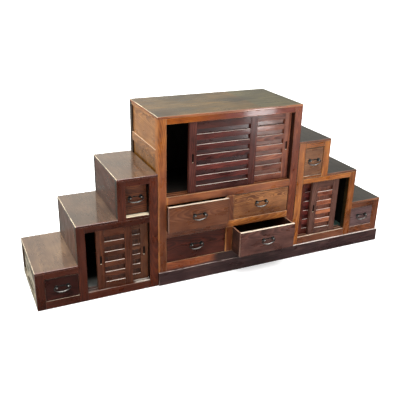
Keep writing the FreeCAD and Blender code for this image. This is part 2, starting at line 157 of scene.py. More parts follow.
# Where the colours change, by height or along the chest
post_dims = (0.56, 0.44)
post_glows = (0.66, 0.9)
side_glows = (0.78, 0.7)
honey_glows = (0.68, 0.72)
head_rail_dims = (-0.24, 0.0)
drawer_rail_glows = (-0.03, 0.03)
base_shadow_span = (-0.12, -0.06)
top_join = (0.17, 0.19)
top_warms = (-0.26, -0.42)
sill_left_worn_lit = (-0.69, -0.73)
sill_right_worn_lit = (-0.6, -0.57)
plinth_worn_lit = (0.4, 0.46)

x_axis, y_axis, z_axis = range(3)


def shown(red, green, blue):
    """Returns a colour from its values as a screen shows them, from 0 to 255."""
    return tuple(((value / 255 + 0.055) / 1.055) ** 2.4 if value > 10 else value / 255 / 12.92
                 for value in (red, green, blue))


# Nodes of the materials and of the surround

class Nodes:
    """Builds the nodes of one tree."""

    def __init__(self, tree):
        self.tree = tree

    def put(self, value, socket):
        """Links a socket or sets a number or colour."""
        if isinstance(value, bpy.types.NodeSocket):
            self.tree.links.new(value, socket)
        elif socket.type == "RGBA" and len(value) == 3:
            socket.default_value = (*value, 1)
        else:
            socket.default_value = value

    def attribute(self, name, output):
        """Reads a coordinate or number that each board carries."""
        node = self.tree.nodes.new("ShaderNodeAttribute")
        node.attribute_name = name
        return node.outputs[output]

    def place(self):
        """Returns the place in the whole chest, at rest."""
        return self.tree.nodes.new("ShaderNodeTexCoord").outputs["Object"]

    def facing(self):
        """Returns the direction that the surface faces."""
        return self.tree.nodes.new("ShaderNodeNewGeometry").outputs["Normal"]

    def calc(self, operation, a, b=0.0, c=0.0, clamp=False):
        """Returns one sum on numbers."""
        node = self.tree.nodes.new("ShaderNodeMath")
        node.operation = operation
        node.use_clamp = clamp
        for value, socket in zip((a, b, c), node.inputs):
            self.put(value, socket)
        return node.outputs[0]

    def product(self, first, *others):
        """Multiplies numbers."""
        for other in others:
            first = self.calc("MULTIPLY", first, other)
        return first

    def scaled(self, share, low, high):
        """Returns a number from low to high for a share from 0 to 1."""
        return self.calc("MULTIPLY_ADD", share, high - low, low)

    def centred(self, share, width):
        """Returns a number from minus a width to plus it for a share from 0 to 1."""
        return self.scaled(share, -width, width)

    def fraction(self, share, factor):
        """Returns another share from 0 to 1, drawn from the first."""
        return self.calc("FRACT", self.calc("MULTIPLY", share, factor))

    def total(self, *terms):
        """Adds up pairs of a number centred on a half and its weight."""
        result = 0.5
        for value, weight in terms:
            result = self.calc("MULTIPLY_ADD", self.calc("SUBTRACT", value, 0.5), weight, result)
        return self.calc("ADD", result, 0.0, clamp=True)

    def vector(self, operation, a, b=(0, 0, 0)):
        """Returns one sum on vectors."""
        node = self.tree.nodes.new("ShaderNodeVectorMath")
        node.operation = operation
        self.put(a, node.inputs[0])
        self.put(b, node.inputs[1])
        return node.outputs[0]

    def parts(self, vector):
        """Returns the three numbers of a vector."""
        node = self.tree.nodes.new("ShaderNodeSeparateXYZ")
        self.put(vector, node.inputs[0])
        return node.outputs

    def noise(self, place, waves, w=0.0, detail=3.0, roughness=0.55, output="Fac"):
        """Returns noise centred on a half, with its waves per metre along each axis."""
        node = self.tree.nodes.new("ShaderNodeTexNoise")
        node.noise_dimensions = "4D"
        self.put(self.vector("MULTIPLY", place, waves), node.inputs["Vector"])
        self.put(w, node.inputs["W"])
        node.inputs["Scale"].default_value = 1.0
        node.inputs["Detail"].default_value = detail
        node.inputs["Roughness"].default_value = roughness
        return node.outputs[output]

    def span(self, value, low, high, to_low=0.0, to_high=1.0):
        """Stretches a number from one span to another, and stops at the ends."""
        node = self.tree.nodes.new("ShaderNodeMapRange")
        node.interpolation_type = "SMOOTHSTEP"
        for item, socket in zip((value, low, high, to_low, to_high), node.inputs):
            self.put(item, socket)
        return node.outputs[0]

    def blend(self, share, a, b, mode="MIX"):
        """Mixes two colours."""
        node = self.tree.nodes.new("ShaderNodeMix")
        node.data_type = "RGBA"
        node.blend_type = mode
        node.clamp_factor = True
        colour_inputs = [socket for socket in node.inputs if socket.type == "RGBA"]
        self.put(share, node.inputs[0])
        self.put(a, colour_inputs[0])
        self.put(b, colour_inputs[1])
        return next(socket for socket in node.outputs if socket.type == "RGBA")

    def ramp(self, share, colours):
        """Returns a colour from a row of colours, darkest first."""
        node = self.tree.nodes.new("ShaderNodeValToRGB")
        stops = node.color_ramp.elements
        while len(stops) < len(colours):
            stops.new(0.5)
        for number, (stop, colour) in enumerate(zip(stops, colours)):
            stop.position = number / (len(colours) - 1)
            stop.color = (*colour, 1)
        self.put(share, node.inputs[0])
        return node.outputs[0]

    def bump(self, height, strength, distance):
        """Returns a normal bent by a height."""
        node = self.tree.nodes.new("ShaderNodeBump")
        node.inputs["Strength"].default_value = strength
        node.inputs["Distance"].default_value = distance
        self.put(height, node.inputs["Height"])
        return node.outputs[0]


class Shader(Nodes):
    """Builds one procedural material."""

    def __init__(self, name):
        self.material = bpy.data.materials.new(name)
        self.material.use_nodes = True
        super().__init__(self.material.node_tree)
        self.tree.nodes.clear()
        self.output = self.tree.nodes.new("ShaderNodeOutputMaterial")

    def finish(self, **inputs):
        """Ends the material in one surface shader with the given sockets."""
        surface = self.tree.nodes.new("ShaderNodeBsdfPrincipled")
        for name, value in inputs.items():
            self.put(value, surface.inputs[name.replace("_", " ")])
        self.tree.links.new(surface.outputs[0], self.output.inputs["Surface"])
        return self.material


class Wood(Shader):
    """Builds wood under lacquer: growth rings, streaks and pores along each board, its wear, and painted
    light and shade.
    """

    def __init__(self, name, colours, rings=150, figure=0.35, streak=0.9, cloud=1.3, waves=cloud_waves,
                 swirl=0.0):
        super().__init__(name)
        share = self.attribute("seed", "Fac")
        self.seed = self.calc("MULTIPLY", share, noise_draw)
        self.at = self.attribute("at", "Vector")
        self.along, self.across, self.through = self.parts(self.at)
        self.from_left, self.from_front, self.from_base = self.parts(self.attribute("corner", "Vector"))
        self.up = self.parts(self.facing())[z_axis]
        ring = self.growth_rings(share, rings, swirl)
        self.streaks = self.noise(self.at, streak_waves, self.seed, detail=4, roughness=0.6)
        self.clouds = self.noise(self.at, waves, self.seed, detail=4, roughness=0.6)
        self.fibre = self.noise(self.at, fibre_waves, self.seed, detail=3)
        self.pores = self.noise(self.at, pore_waves, self.seed, detail=2)
        board = self.fraction(share, tone_draw)
        self.tone = self.total((ring, figure), (self.streaks, streak), (self.clouds, cloud),
                               (self.fibre, fibre_tone), (board, board_tone))
        self.colour = self.ramp(self.tone, colours)
        # Share of laid colour, worn wood and painted highlight and shade alike, which roughens the finish
        self.bare = 0.0
        self.measure_edges()

    def growth_rings(self, share, rings, swirl):
        """Returns rings round a heart that lies beneath the board and leans along it."""
        aside = self.centred(self.fraction(share, aside_draw), heart_aside)
        wander = self.centred(self.noise(self.at, wander_waves, self.seed, detail=2), heart_wander)
        beside = self.calc("ADD", self.calc("ADD", self.across, aside), wander)
        lean = self.centred(self.fraction(share, lean_draw), heart_lean)
        below = self.calc("MULTIPLY_ADD", self.along, lean, self.through)
        below = self.calc("ADD", below, self.scaled(share, *heart_depth))
        squares = self.calc("ADD", self.product(beside, beside), self.product(below, below))
        distance = self.calc("SQRT", squares)
        if swirl:
            knots = self.noise(self.at, knot_waves, self.seed, detail=1)
            distance = self.calc("ADD", distance, self.centred(knots, swirl))
        turn = self.fraction(distance, rings)
        early = self.span(turn, 0.0, 0.75)
        late = self.span(turn, 1.0, 0.86)
        return self.calc("SUBTRACT", 1.0, self.product(early, late))

    def measure_edges(self):
        """Finds how far each point is from its board's outside, and from the nearest edge."""
        halves = self.parts(self.attribute("half", "Vector"))
        to_end, to_side, to_face = [self.calc("SUBTRACT", half, self.calc("ABSOLUTE", value))
                                    for half, value in zip(halves, (self.along, self.across, self.through))]
        smaller = self.calc("MINIMUM", to_side, to_end)
        larger = self.calc("MAXIMUM", to_side, to_end)
        self.to_outside = self.calc("MINIMUM", smaller, to_face)
        self.to_edge = self.calc("MAXIMUM", smaller, self.calc("MINIMUM", larger, to_face))
        self.ragged = self.noise(self.at, ragged_waves, self.seed, detail=3)
        self.scuffs = self.noise(self.at, scuff_waves, self.seed, detail=4)

    def near(self, distance, width, edge=0.0):
        """Returns a share that rises over a ragged width as a distance shrinks."""
        return self.span(distance, self.calc("MULTIPLY", self.ragged, width * 2), edge)

    def upward(self):
        """Returns a share that is one on the faces that look up."""
        return self.span(self.up, 0.6, 0.9)

    def recolour(self, share, colours):
        """Gives the wood other colours over a share of it."""
        self.colour = self.blend(share, self.colour, self.ramp(self.tone, colours))
        return self

    def lay(self, share, colour):
        """Lays another colour over the finish and roughens it there: worn wood, and in some places painted
        highlight and shade.
        """
        self.colour = self.blend(share, self.colour, colour)
        self.bare = self.calc("MAXIMUM", self.bare, share)
        return self

    def beyond(self, colours, axis, start, end):
        """Changes to other colours from one place along an axis of the chest to another."""
        cloudy = self.calc("ADD", self.parts(self.place())[axis], self.centred(self.clouds, abs(end - start)))
        return self.recolour(self.span(cloudy, start, end), colours)

    def deeper(self, colours, start, end, distance=None):
        """Changes to other colours behind the board's own front, or away from another side."""
        return self.recolour(self.span(distance or self.from_front, start, end), colours)

    def sides(self, colours):
        """Gives other colours to the faces that look sideways."""
        return self.recolour(self.span(self.up, 0.75, 0.35), colours)

    def patches(self, colour, waves, low, high, amount):
        """Lays patches of another colour."""
        spots = self.noise(self.at, waves, self.calc("ADD", self.seed, 5.0), detail=4, roughness=0.6)
        self.colour = self.blend(self.span(spots, low, high, 0.0, amount), self.colour, colour)
        return self

    def rub(self, colour, width=0.0016, amount=0.5):
        """Wears the edges unevenly along their length."""
        patchy = self.span(self.noise(self.at, rub_waves, self.seed, detail=2), 0.42, 0.62, 0.15, 1.0)
        return self.lay(self.product(self.near(self.to_edge, width), patchy, amount), colour)

    def line(self, colour, distance, width, amount, upward=True):
        """Lays a line where a distance starts, on all faces or on those that look up."""
        steady = self.span(self.noise(self.at, line_waves, self.seed, detail=2), 0.35, 0.6, 0.35, 1.0)
        share = self.product(self.near(distance, width, 0.0005), steady, amount)
        return self.lay(self.product(share, self.span(self.up, 0.3, 0.6)) if upward else share, colour)

    def worn_lit_ledge(self, colour, width, amount=0.9, behind=None, behind_amount=0.7, least=0.35, start=None):
        """Pales the faces that look up, near the front edge or another start and less behind it: wear, and a
        painted highlight where the light falls on them.
        """
        scuffed = self.product(self.upward(), self.span(self.scuffs, 0.32, 0.58, least, 1.0))
        if behind:
            self.lay(self.product(scuffed, behind_amount), behind)
        near = self.span(start or self.from_front, width, self.calc("MULTIPLY", self.ragged, width))
        return self.lay(self.product(scuffed, near, amount), colour)

    def shade_edges(self, colour, width=0.004, amount=0.5):
        """Darkens the wood softly along its edges: a painted shade."""
        self.colour = self.blend(self.product(self.near(self.to_edge, width), amount), self.colour, colour)
        return self

    def dust_and_sheen(self, colour, start, end, amount):
        """Pales the faces that look up, from one place along the chest to another: dust and scuffs, and a
        painted highlight.
        """
        along = self.span(self.parts(self.place())[x_axis], start, end)
        scuffed = self.span(self.scuffs, 0.3, 0.5, 0.2, 1.0)
        return self.lay(self.product(self.upward(), along, scuffed, amount), colour)

    def ends(self, colours, amount=0.8):
        """Gives other colours to the end grain, which looks along the chest."""
        aside = self.calc("ABSOLUTE", self.parts(self.facing())[x_axis])
        return self.recolour(self.product(self.span(aside, 0.6, 0.9), amount), colours)

    def shade_and_light_hollows(self, colour, amount=0.85, bright=None):
        """Darkens grooves and recesses as painted shade, and with a bright colour paints a highlight on their
        faces that look up.
        """
        inside = self.span(self.to_outside, 0.0008, 0.002)
        self.colour = self.blend(self.product(inside, amount), self.colour, colour)
        if bright:
            self.lay(self.product(inside, self.upward()), bright)
        return self

    def done(self, gloss=(0.25, 0.4), coat=0.2, coat_roughness=0.12, specular=0.4):
        """Ends the finish with its pores and its gloss, and returns the material."""
        pits = self.blend(self.span(self.pores, 0.6, 0.76, 0.0, 0.45), (1, 1, 1), (0, 0, 0))
        colour = self.blend(1.0, self.colour, pits, "MULTIPLY")
        smears = self.noise(self.at, smear_waves, self.seed, detail=4)
        roughness = self.calc("MULTIPLY_ADD", self.bare, worn_roughness, self.span(smears, 0.3, 0.7, *gloss))
        height = self.calc("MULTIPLY", self.fibre, fibre_bump)
        height = self.calc("MULTIPLY_ADD", self.pores, pore_bump, height)
        height = self.calc("MULTIPLY_ADD", self.streaks, streak_bump, height)
        normal = self.bump(height, wood_bump_strength, wood_bump_depth)
        return self.finish(Base_Color=colour, Roughness=roughness, Normal=normal, Coat_Weight=coat,
                           Coat_Roughness=coat_roughness, Specular_IOR_Level=specular)


def iron(name, patina, worn, measure, worn_from, worn_to, metallic=0.9):
    """Returns forged iron, dimpled and dark, rubbed bright from one place of a measured way to another."""
    s = Shader(name)
    at = s.attribute("at", "Vector")
    seed = s.calc("MULTIPLY", s.attribute("seed", "Fac"), iron_draw)
    dimples = s.noise(at, dimple_waves, seed, detail=2)
    spots = s.noise(at, spot_waves, seed, detail=5, roughness=0.7)
    way = s.parts(s.attribute(measure, "Vector"))[y_axis]
    spotty = s.calc("ADD", way, s.centred(spots, abs(worn_to - worn_from) / 2))
    rubbed = s.product(s.span(spotty, worn_from, worn_to), s.span(dimples, 0.3, 0.55, 0.4, 1.0))
    colour = s.blend(rubbed, patina, worn)
    roughness = s.span(spots, 0.35, 0.7, 0.2, 0.4)
    height = s.calc("MULTIPLY_ADD", spots, spot_bump, dimples)
    normal = s.bump(height, iron_bump_strength, iron_bump_depth)
    return s.finish(Base_Color=colour, Metallic=metallic, Roughness=roughness, Normal=normal)


def floor_finish():
    """Returns the plain pale floor, lit a little from beneath."""
    s = Shader("pale_floor")
    return s.finish(Base_Color=(floor_shade, floor_shade, floor_shade), Roughness=floor_roughness,
                    Emission_Color=(1.0, 1.0, 1.0), Emission_Strength=floor_glow)


# Finishes of the boards

cream_wood = shown(236, 220, 188)
# Near-black of painted shade, which the left frame's reveals turn to behind the front
black_shade = [shown(4, 3, 3), shown(8, 5, 4), shown(14, 9, 7)]
# Painted shade in grooves, recesses and the gap beside the centre case
groove_shade = shown(14, 9, 7)
dull = (0.6, 0.8)
less_dull = (0.5, 0.7)

dark = [shown(38, 11, 1), shown(64, 21, 4), shown(93, 36, 8)]
dark_rubbed = shown(130, 80, 60)
dark_case = (Wood("dark_case", dark, streak=0.7, cloud=1.0)
             .rub(dark_rubbed, amount=0.25)
             .worn_lit_ledge(shown(214, 196, 170), 0.003, 0.8, behind=shown(88, 50, 36))
             .shade_and_light_hollows(groove_shade)
             .done())
dark_sill = (Wood("dark_sill", dark, streak=0.7, cloud=1.0)
             .rub(dark_rubbed, amount=0.25)
             .shade_and_light_hollows(groove_shade, 0.5)
             # Pale track tops: wear and dust, with a painted highlight towards both ends of the sill
             .worn_lit_ledge(shown(200, 176, 160), 0.0025, 0.4, least=0.0)
             .dust_and_sheen(shown(250, 244, 232), *sill_left_worn_lit, 0.12)
             .dust_and_sheen(shown(240, 234, 220), *sill_right_worn_lit, 0.5)
             .done())
# The rail under the high drawer: its top cream, bare wood and a painted highlight
dark_bare_lit = (Wood("dark_bare_lit", dark)
             .rub(dark_rubbed, amount=0.25)
             .worn_lit_ledge(cream_wood, 0.06, 1.0, behind=cream_wood, behind_amount=1.0)
             .done())
# Reveals of the left frame's openings, darkening behind the front as painted shade
dark_reveal_shade = Wood("dark_reveal_shade", dark).deeper(black_shade, 0.001, 0.009).done(coat=0.0)
dark_back = (Wood("dark_back", [shown(34, 22, 16), shown(58, 40, 29), shown(84, 62, 46)])
             .rub(shown(130, 104, 80), amount=0.3)
             .done(coat=0.0))
bare_back = (Wood("bare_back", [shown(44, 31, 22), shown(78, 58, 43), shown(112, 88, 66)], figure=0.5)
             .rub(shown(140, 116, 90), amount=0.3)
             .done(gloss=less_dull, coat=0.0))
dark_tops = Wood("dark_tops", [shown(46, 30, 20), shown(69, 47, 32), shown(94, 70, 48)],
                 figure=0.2, cloud=1.7, waves=broad_cloud_waves)
dark_tops = (dark_tops
             .deeper([shown(62, 43, 32), shown(90, 66, 48), shown(118, 92, 68)],
                     0.08, 0.24, dark_tops.from_left)
             .sides([shown(40, 14, 10), shown(66, 28, 18), shown(90, 44, 30)])
             .line(shown(84, 38, 28), dark_tops.from_front, 0.022, 0.8)
             # A pale line along each top's left edge: wear, and a painted highlight where the edge catches
             # the light
             .line(shown(226, 208, 176), dark_tops.from_left, 0.004, 1.0)
             .rub(shown(150, 100, 76), amount=0.12)
             .done(gloss=(0.22, 0.38), coat=0.9, coat_roughness=0.06))
dark_sides = (Wood("dark_sides", [shown(46, 15, 5), shown(64, 23, 8), shown(81, 32, 14)])
              .rub(shown(190, 160, 130), amount=0.2)
              .done(coat=0.2))
dark_end = (Wood("dark_end", [shown(30, 24, 18), shown(66, 56, 42), shown(122, 108, 82)], cloud=2.2)
            .patches(shown(204, 192, 168), peeled_waves, 0.46, 0.6, 0.6)
            .patches(shown(104, 102, 84), stained_waves, 0.54, 0.64, 0.7)
            .rub(shown(26, 20, 16), amount=0.6)
            .done(gloss=less_dull, coat=0.0))

amber = [shown(70, 28, 10), shown(114, 56, 24), shown(146, 82, 39)]
amber_low = [shown(55, 20, 6), shown(89, 43, 18), shown(115, 62, 29)]
golden = shown(206, 142, 80)
# Pale tops of the amber rails: wear, and a painted highlight where the light falls on them
amber_ledge_highlight = {"colour": shown(206, 176, 140), "width": 0.003, "amount": 0.7, "behind": shown(104, 66, 42)}
amber_case = Wood("amber_case", amber)
amber_case = (amber_case
              .beyond(amber_low, z_axis, *post_dims)
              .beyond([shown(84, 38, 7), shown(132, 70, 17), shown(166, 98, 32)], z_axis, *post_glows)
              .shade_edges(shown(40, 18, 8), 0.004, 0.5)
              .line(shown(212, 134, 54), amber_case.from_left, 0.014, 0.4, upward=False)
              .rub(golden, 0.004, 0.6)
              .worn_lit_ledge(**amber_ledge_highlight)
              .shade_and_light_hollows(groove_shade)
              .done())
# Reveals of the centre frame's openings, darkening behind the front as painted shade
amber_reveal_shade = (Wood("amber_reveal_shade", amber_low)
                .deeper([shown(14, 7, 5), shown(34, 16, 10), shown(56, 28, 17)], 0.001, 0.012)
                .done(coat=0.0))
amber_rail = (Wood("amber_rail", [shown(88, 37, 3), shown(131, 64, 8), shown(168, 90, 14)])
              .beyond([shown(66, 26, 20), shown(106, 50, 38), shown(140, 74, 56)], x_axis, *head_rail_dims)
              .shade_edges(shown(50, 22, 8), 0.003, 0.4)
              .rub(golden, 0.003, 0.5)
              .shade_and_light_hollows(groove_shade)
              .done(coat=0.25, coat_roughness=0.09, specular=0.1))
drawer_rail = (Wood("drawer_rail", [shown(54, 24, 14), shown(88, 47, 29), shown(119, 68, 40)])
               .beyond([shown(96, 48, 18), shown(150, 86, 36), shown(190, 120, 56)],
                       x_axis, *drawer_rail_glows)
               .rub(shown(190, 150, 110), amount=0.4)
               .worn_lit_ledge(**amber_ledge_highlight)
               .done())
amber_base = Wood("amber_base", [shown(78, 31, 12), shown(124, 61, 28), shown(160, 88, 44)])
amber_base = (amber_base
              # Dark plum towards the right: a painted shadow of the pulled-out lower right drawer
              .beyond([shown(30, 15, 13), shown(50, 31, 28), shown(72, 48, 43)], x_axis, *base_shadow_span)
              .line(shown(62, 42, 39), amber_base.from_base, 0.018, 0.9, upward=False)
              .rub(shown(190, 150, 110), amount=0.5)
              .worn_lit_ledge(**amber_ledge_highlight)
              .done())
amber_post = (Wood("amber_post", [shown(76, 28, 10), shown(109, 48, 21), shown(140, 71, 34)])
              .shade_edges(shown(44, 18, 10), 0.005, 0.5)
              .rub(shown(190, 140, 110), 0.002, 0.4)
              .done(specular=0.25))
amber_sides = Wood("amber_sides", [shown(100, 58, 28), shown(150, 100, 56), shown(184, 132, 78)])
amber_sides = (amber_sides
               .beyond([shown(94, 54, 10), shown(146, 94, 30), shown(184, 128, 52)], z_axis, *side_glows)
               .rub(golden, 0.003, 0.6)
               .worn_lit_ledge(shown(236, 220, 190), 0.004, 1.0, behind=shown(150, 100, 60),
                      start=amber_sides.from_left)
               .done(coat=0.35))
amber_top = Wood("amber_top", [shown(22, 16, 5), shown(47, 34, 12), shown(86, 63, 25)],
                 figure=0.5, streak=1.3, cloud=2.4, waves=broadest_cloud_waves)
amber_top = (amber_top
             .beyond([shown(26, 22, 11), shown(44, 39, 22), shown(70, 62, 34)], x_axis, *top_join)
             .beyond([shown(24, 13, 1), shown(48, 30, 4), shown(82, 55, 11)], x_axis, *top_warms)
             .sides(amber)
             .line(shown(120, 72, 40), amber_top.from_front, 0.014, 0.8)
             # A pale line along the top's left edge: wear, and a painted highlight where the edge catches the
             # light
             .line(shown(232, 216, 184), amber_top.from_left, 0.004, 1.0)
             .done(gloss=(0.25, 0.4), coat=0.3, coat_roughness=0.1))

honey = [shown(72, 30, 3), shown(135, 71, 17), shown(188, 115, 38)]
honey_edge = shown(220, 164, 92)
# Painted shade along the edges of the right case's boards
honey_edge_shade = shown(52, 22, 6)
# Pale tops of the right case's rails: wear, and a painted highlight where the light falls on them
pale_ledge_highlight = shown(222, 204, 180)
honey_case = (Wood("honey_case", honey)
              .beyond([shown(80, 36, 2), shown(140, 75, 10), shown(192, 118, 29)], z_axis, *honey_glows)
              .shade_edges(honey_edge_shade, 0.005, 0.7)
              .rub(honey_edge, 0.003, 0.6)
              .worn_lit_ledge(pale_ledge_highlight, 0.005, 0.9, behind=shown(120, 84, 58))
              .shade_and_light_hollows(groove_shade)
              .done())
honey_post = Wood("honey_post", honey)
honey_post = (honey_post
              .shade_edges(honey_edge_shade, 0.005, 0.7)
              .rub(honey_edge, 0.003, 0.6)
              # A dark line along the left edge, where the post meets the centre case: painted shade in the
              # gap
              .line(groove_shade, honey_post.from_left, 0.006, 1.0, upward=False)
              .done())
honey_base = (Wood("honey_base", [shown(66, 29, 14), shown(104, 56, 31), shown(134, 77, 45)])
              .shade_edges(honey_edge_shade, 0.004, 0.5)
              .rub(shown(200, 160, 130), amount=0.6)
              .worn_lit_ledge(pale_ledge_highlight, 0.008, 1.0, behind=shown(150, 116, 96), behind_amount=0.8)
              .shade_and_light_hollows(groove_shade)
              .done())
honey_low = (Wood("honey_low", [shown(53, 23, 8), shown(91, 46, 20), shown(126, 65, 31)])
             .shade_edges(honey_edge_shade, 0.004, 0.6)
             .rub(shown(200, 150, 110), 0.002, 0.5)
             .worn_lit_ledge(shown(206, 176, 160), 0.01, 0.8, behind=shown(110, 76, 60))
             .done())
# Reveals of the right frame's openings, darkening behind the front as painted shade
honey_reveal_shade = (Wood("honey_reveal_shade", honey)
                .deeper([shown(20, 15, 8), shown(46, 34, 18), shown(76, 56, 30)], 0.001, 0.01)
                .done(coat=0.0))
honey_tops = Wood("honey_tops", [shown(16, 13, 9), shown(26, 22, 17), shown(39, 33, 27)],
                  figure=0.2, cloud=1.8, waves=broad_cloud_waves)
honey_tops = (honey_tops
              .sides([shown(70, 34, 16), shown(112, 62, 32), shown(142, 84, 46)])
              .line(shown(104, 66, 44), honey_tops.from_front, 0.008, 0.7)
              .rub(shown(120, 72, 50), 0.003, 0.5)
              .done(gloss=(0.35, 0.5), coat=0.3))

plinth_wood = (Wood("plinth_wood", [shown(38, 22, 22), shown(60, 38, 37), shown(88, 60, 55)])
               .rub(shown(200, 182, 172), 0.002, 0.5)
               # Pale top: wear and dust, and a painted highlight on the ledge
               .worn_lit_ledge(shown(214, 196, 188), 0.007, 0.7, behind=shown(110, 84, 78), least=0.0)
               .dust_and_sheen(shown(244, 234, 226), *plinth_worn_lit, 0.6)
               .done())
# Insides of the cases, painted near-black as shade
inner_shade_wood = (Wood("inner_shade_wood", [shown(12, 9, 7), shown(22, 16, 12), shown(36, 27, 20)])
              .done(gloss=dull, coat=0.0))
# Inner faces of the right case, painted dark olive as shade
olive_shade_wood = (Wood("olive_shade_wood", [shown(10, 9, 4), shown(22, 19, 9), shown(38, 33, 17)])
              .done(gloss=dull, coat=0.0))
# Cupboard floors: pale near the opening as painted light, darker deeper in as painted shade
grey_floor = (Wood("grey_floor", [shown(104, 106, 102), shown(136, 136, 130), shown(160, 160, 152)])
              .deeper([shown(14, 14, 13), shown(24, 24, 22), shown(38, 38, 35)], 0.02, 0.12)
              .done(gloss=dull, coat=0.0))
green_floor = (Wood("green_floor", [shown(50, 76, 68), shown(88, 120, 110), shown(126, 152, 140)])
               .deeper([shown(12, 18, 16), shown(26, 38, 34), shown(44, 58, 52)], 0.02, 0.16)
               .done(gloss=dull, coat=0.0))
box_wood = (Wood("box_wood", [shown(30, 16, 11), shown(56, 28, 18), shown(86, 46, 30)])
            # Paler tops of the drawer boxes: wear, and a painted highlight
            .worn_lit_ledge(shown(150, 110, 84), 0.4, 0.6, behind=shown(110, 72, 54))
            .done(gloss=less_dull, coat=0.05))

# Fronts of the drawers, each of its own board
drawer_colours = {
    "upper_left": [shown(58, 28, 14), shown(91, 50, 28), shown(116, 68, 41)],
    "upper_right": [shown(42, 18, 6), shown(104, 59, 29), shown(164, 107, 57)],
    "lower_left": [shown(38, 14, 8), shown(71, 29, 18), shown(103, 47, 29)],
    "lower_right": [shown(52, 29, 24), shown(89, 55, 47), shown(117, 77, 65)],
    "left_low": [shown(27, 7, 3), shown(44, 13, 7), shown(64, 22, 11)],
    "left_high": [shown(46, 20, 12), shown(100, 51, 25), shown(167, 91, 36)],
    "right_low": [shown(56, 39, 37), shown(88, 64, 63), shown(120, 90, 84)],
    "right_high": [shown(66, 38, 22), shown(105, 66, 42), shown(145, 98, 58)],
}
end_grain = [shown(110, 80, 70), shown(156, 120, 106), shown(190, 158, 140)]
# Pale tops of the drawer fronts: wear, and a painted highlight
bare_lit_top = shown(220, 204, 182)
drawer_rings = {"upper_left": 170, "upper_right": 230, "lower_left": 190, "lower_right": 150, "left_low": 150,
                "left_high": 110, "right_low": 150, "right_high": 170}
usual_swirl = 0.005
drawer_swirls = {"upper_right": 0.012}
drawer_finishes = {
    name: (Wood("front_" + name, colours, rings=drawer_rings[name], figure=0.4,
                swirl=drawer_swirls.get(name, usual_swirl))
           .shade_edges(shown(26, 12, 7), 0.005, 0.7)
           .ends(end_grain, 0.7)
           .rub(shown(200, 172, 146), amount=0.4)
           .worn_lit_ledge(bare_lit_top, 0.03, 0.9, behind=bare_lit_top)
           .done(specular=0.3))
    for name, colours in drawer_colours.items()
}

# Sliding doors, redder or browner from pair to pair, with thin panels behind their slats painted darker than
# the slats as shade
door_colours = {
    "left_front": [shown(44, 20, 12), shown(74, 39, 24), shown(104, 56, 34)],
    "left_rear": [shown(48, 25, 17), shown(79, 46, 31), shown(111, 68, 43)],
    "centre_front": [shown(41, 17, 14), shown(71, 34, 28), shown(99, 51, 40)],
    "centre_rear": [shown(62, 32, 25), shown(117, 68, 53), shown(158, 98, 70)],
    "right_front": [shown(46, 27, 23), shown(82, 53, 44), shown(112, 73, 59)],
    "right_rear": [shown(40, 13, 9), shown(72, 29, 20), shown(102, 44, 29)],
}
slat_colours = {
    **door_colours,
    "centre_front": [shown(43, 14, 12), shown(75, 29, 24), shown(104, 43, 34)],
    "right_front": [shown(66, 27, 19), shown(124, 69, 49), shown(172, 104, 66)],
    "right_rear": [shown(48, 13, 12), shown(84, 32, 29), shown(114, 51, 41)],
}
# Bright lines on the tops of the slats and door rails: a painted highlight, over some wear
door_ledge_highlight = {"colour": shown(252, 240, 228), "width": 0.0045, "amount": 1.0,
              "behind": shown(140, 100, 86), "behind_amount": 0.5, "least": 0.6}
panel_painted_shade = 0.75
door_finishes = {
    name: (Wood("door_" + name, colours, cloud=1.4)
           .shade_edges(shown(24, 9, 6), 0.003, 0.5)
           .rub(shown(170, 130, 110), amount=0.15)
           .worn_lit_ledge(**door_ledge_highlight)
           .shade_and_light_hollows(groove_shade, bright=cream_wood)
           .done(coat=0.03, coat_roughness=0.1, specular=0.15))
    for name, colours in door_colours.items()
}
slat_finishes = {
    name: (Wood("slats_" + name, colours, cloud=1.6)
           .worn_lit_ledge(**door_ledge_highlight)
           .done(coat=0.2, coat_roughness=0.1, specular=0.15))
    for name, colours in slat_colours.items()
}
panel_finishes = {
    name: (Wood("panel_" + name, [tuple(value * panel_painted_shade for value in colour) for colour in colours])
           .done(coat=0.1))
    for name, colours in slat_colours.items()
}

plate_iron = iron("plate_iron", shown(44, 46, 44), shown(90, 90, 86), "at", 0.006, 0.011, metallic=0.7)
boss_iron = iron("boss_iron", shown(56, 57, 55), shown(176, 175, 170), "corner", 0.003, 0.0, metallic=0.7)
bail_iron = iron("bail_iron", shown(58, 58, 56), shown(142, 139, 134), "at", -0.003, -0.011, metallic=0.6)


# Boards, cut apart from the nodes that hold them

def closed_solids(mesh):
    """Yields the triangles of one closed solid after another, in the order that the mesh has them."""
    places = [tuple(round(value, 6) for value in vertex.co) for vertex in mesh.vertices]
    unmatched = set()
    triangles = []
    for face in mesh.polygons:
        corners = [places[index] for index in face.vertices]
        triangles.append(corners)
        for start, end in zip(corners, corners[1:] + corners[:1]):
            if (end, start) in unmatched:
                unmatched.remove((end, start))
            else:
                unmatched.add((start, end))
        if not unmatched:
            yield triangles
            triangles = []


def solid_mesh(triangles):
    """Returns one solid as a mesh with its flat faces whole."""
    solid = bmesh.new()
    made = {}
    for corners in triangles:
        for corner in corners:
            if corner not in made:
                made[corner] = solid.verts.new(corner)
        solid.faces.new([made[corner] for corner in corners])
    bmesh.ops.dissolve_limit(solid, angle_limit=flat_angle, verts=solid.verts[:], edges=solid.edges[:])
    return solid


def ease(solid, angle, offset):
    """Rounds the edges of a solid that are sharper than an angle."""
    sharp = [edge for edge in solid.edges if edge.calc_face_angle(0) > angle]
    bmesh.ops.bevel(solid, geom=sharp, offset=offset, segments=ease_segments, profile=ease_profile,
                    affect="EDGES", clamp_overlap=True)
    solid.normal_update()


